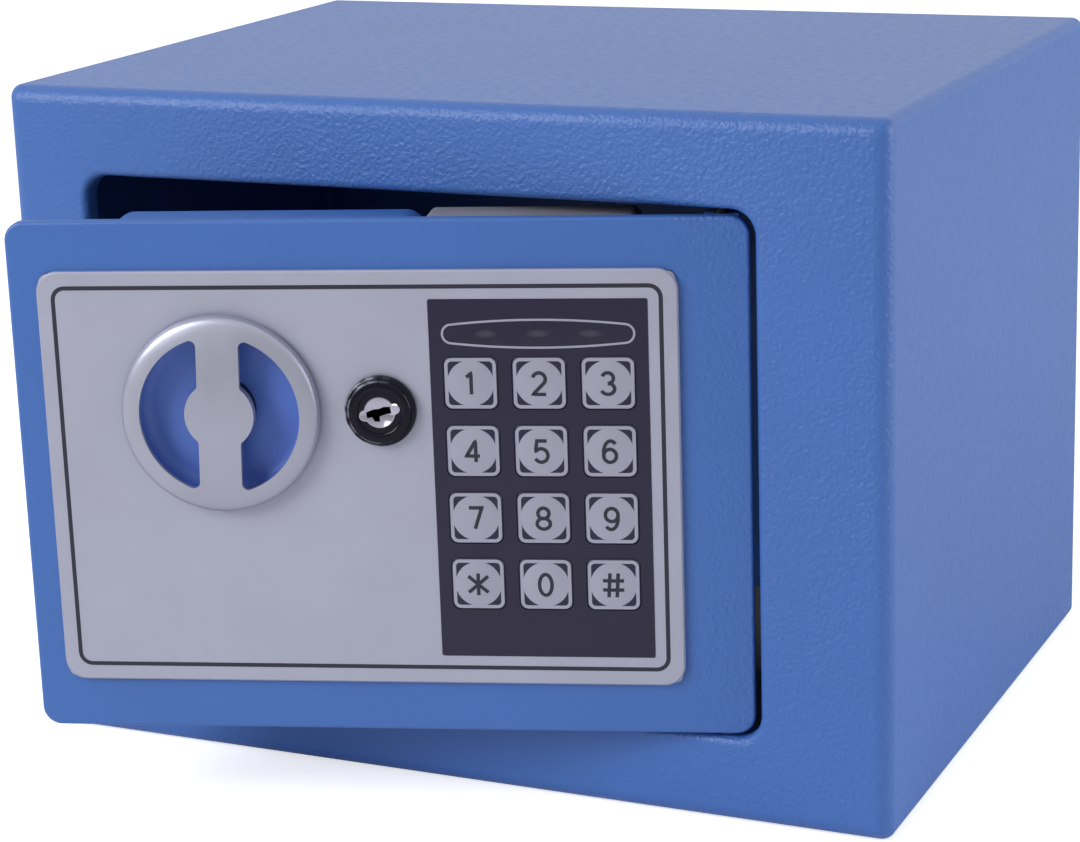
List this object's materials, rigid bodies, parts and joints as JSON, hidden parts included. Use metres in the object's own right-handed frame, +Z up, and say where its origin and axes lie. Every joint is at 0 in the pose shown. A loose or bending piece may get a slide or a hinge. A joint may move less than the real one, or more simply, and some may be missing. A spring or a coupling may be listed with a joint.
{
  "type": "electronic safe",
  "caption": "Small steel safe standing a little open: front door on concealed pin hinges with a keypad, a round turn knob that throws sliding bolts, and a key override lock.",
  "frame": {"origin": "middle of the base, on the surface that the safe stands on", "axes": "+Z up, +X to the right as one faces the door, -Y out of the front; the back is at +Y"},
  "size_m": [0.23, 0.2193, 0.17],
  "materials": {
    "blue_paint": "satin powder coat",
    "felt": "needled felt",
    "brass_washer": "plain",
    "bright_steel": "bright",
    "zinc_plate": "zinc plated",
    "coil_steel": "zinc plated frame round a taped coil",
    "bolt_chrome": "polished",
    "plug_chrome": "polished",
    "fascia_silver": "fine satin silver",
    "knob_silver": "satin silver",
    "film_dark": "smooth printed film",
    "key_print": "smooth, with a printed silver disc",
    "smoked_lens": "smoked and clear",
    "lamp_lens": "diffusing",
    "key_rubber": "matt",
    "board_green": "solder mask",
    "bezel_black": "glossy black",
    "box_grey": "fine spark texture",
    "cell_wrap": "shrink wrap",
    "reset_red": "smooth"
  },
  "bodies": {
    "case": {"case_shell": "blue_paint", "back_panel": "blue_paint", "floor_mat": "felt", "hinge_plate_top": "blue_paint", "hinge_plate_bottom": "blue_paint", "hinge_washer": "brass_washer"},
    "door": {"bolt_guide": "zinc_plate", "box_screws": "bright_steel", "cell_1": "cell_wrap", "cell_2": "cell_wrap", "cell_3": "cell_wrap", "cell_4": "cell_wrap", "circuit_board": "board_green", "contact_plates": "bright_steel", "contact_springs": "bright_steel", "cover_posts": "zinc_plate", "cover_screws": "bright_steel", "door_plate": "blue_paint", "electronics_box": "box_grey", "fascia": "fascia_silver", "guide_stud": "zinc_plate", "hinge_block_bottom": "blue_paint", "hinge_block_top": "blue_paint", "hinge_pin_bottom": "bright_steel", "hinge_pin_top": "bright_steel", "inner_cover": "blue_paint", "keypad_film": "film_dark", "knob_cup": "blue_paint", "lamp_window": "smoked_lens", "lamps": "lamp_lens", "lock_housing": "bezel_black", "lock_nut": "zinc_plate", "rubber_mat": "key_rubber", "shaft_bearing": "zinc_plate", "solenoid": "coil_steel"},
    "knob": {"knob_handle": "knob_silver", "knob_shaft": "zinc_plate", "knob_crank": "zinc_plate", "crank_screw": "bright_steel"},
    "bolts": {"bolt_carriage": "zinc_plate", "bolt_bottom": "bolt_chrome", "bolt_top": "bolt_chrome", "bolt_rivets": "bright_steel"},
    "plunger": {"plunger": "bright_steel"},
    "lock_plug": {"lock_plug": "plug_chrome", "lock_cam": "zinc_plate"},
    "key_1": {"key_1": "key_print"},
    "key_2": {"key_2": "key_print"},
    "key_3": {"key_3": "key_print"},
    "key_4": {"key_4": "key_print"},
    "key_5": {"key_5": "key_print"},
    "key_6": {"key_6": "key_print"},
    "key_7": {"key_7": "key_print"},
    "key_8": {"key_8": "key_print"},
    "key_9": {"key_9": "key_print"},
    "key_star": {"key_star": "key_print"},
    "key_0": {"key_0": "key_print"},
    "key_hash": {"key_hash": "key_print"},
    "reset_button": {"reset_button": "reset_red"},
    "battery_lid": {"battery_lid": "box_grey"}
  },
  "joints": [
    {"name": "door_hinge", "type": "hinge", "parent": "case", "child": "door", "pos_m": [0.07365, -0.08, 0.085], "axis": [0, 0, 1], "range_deg": [-17.4, 82.6]},
    {"name": "knob_turn", "type": "hinge", "parent": "door", "child": "knob", "pos_m": [-0.03626, -0.11968, 0.1016], "axis": [0.299, -0.9542, 0], "range_deg": [0, 90]},
    {"name": "bolt_slide", "type": "slide", "parent": "door", "child": "bolts", "axis": [-0.9542, -0.299, 0], "range_m": [0, 0.012]},
    {"name": "plunger_slide", "type": "slide", "parent": "door", "child": "plunger", "axis": [0, 0, -1], "range_m": [-0.005, 0]},
    {"name": "lock_turn", "type": "hinge", "parent": "door", "child": "lock_plug", "pos_m": [-0.00034, -0.10842, 0.1021], "axis": [0.299, -0.9542, 0], "range_deg": [0, 90]},
    {"name": "key_1_press", "type": "slide", "parent": "door", "child": "key_1", "axis": [-0.299, 0.9542, 0], "range_m": [0, 0.0005], "stiffness_N_per_m": 400},
    {"name": "key_2_press", "type": "slide", "parent": "door", "child": "key_2", "axis": [-0.299, 0.9542, 0], "range_m": [0, 0.0005], "stiffness_N_per_m": 400},
    {"name": "key_3_press", "type": "slide", "parent": "door", "child": "key_3", "axis": [-0.299, 0.9542, 0], "range_m": [0, 0.0005], "stiffness_N_per_m": 400},
    {"name": "key_4_press", "type": "slide", "parent": "door", "child": "key_4", "axis": [-0.299, 0.9542, 0], "range_m": [0, 0.0005], "stiffness_N_per_m": 400},
    {"name": "key_5_press", "type": "slide", "parent": "door", "child": "key_5", "axis": [-0.299, 0.9542, 0], "range_m": [0, 0.0005], "stiffness_N_per_m": 400},
    {"name": "key_6_press", "type": "slide", "parent": "door", "child": "key_6", "axis": [-0.299, 0.9542, 0], "range_m": [0, 0.0005], "stiffness_N_per_m": 400},
    {"name": "key_7_press", "type": "slide", "parent": "door", "child": "key_7", "axis": [-0.299, 0.9542, 0], "range_m": [0, 0.0005], "stiffness_N_per_m": 400},
    {"name": "key_8_press", "type": "slide", "parent": "door", "child": "key_8", "axis": [-0.299, 0.9542, 0], "range_m": [0, 0.0005], "stiffness_N_per_m": 400},
    {"name": "key_9_press", "type": "slide", "parent": "door", "child": "key_9", "axis": [-0.299, 0.9542, 0], "range_m": [0, 0.0005], "stiffness_N_per_m": 400},
    {"name": "key_star_press", "type": "slide", "parent": "door", "child": "key_star", "axis": [-0.299, 0.9542, 0], "range_m": [0, 0.0005], "stiffness_N_per_m": 400},
    {"name": "key_0_press", "type": "slide", "parent": "door", "child": "key_0", "axis": [-0.299, 0.9542, 0], "range_m": [0, 0.0005], "stiffness_N_per_m": 400},
    {"name": "key_hash_press", "type": "slide", "parent": "door", "child": "key_hash", "axis": [-0.299, 0.9542, 0], "range_m": [0, 0.0005], "stiffness_N_per_m": 400},
    {"name": "reset_press", "type": "slide", "parent": "door", "child": "reset_button", "axis": [0.299, -0.9542, 0], "range_m": [0, 0.0012], "stiffness_N_per_m": 400},
    {"name": "lid_pull", "type": "slide", "parent": "door", "child": "battery_lid", "axis": [-0.299, 0.9542, 0], "range_m": [0, 0.05]}
  ],
  "couplings": [
    {"joint": "knob_turn", "follows": "bolt_slide", "rad_per_m": 130.9}
  ]
}
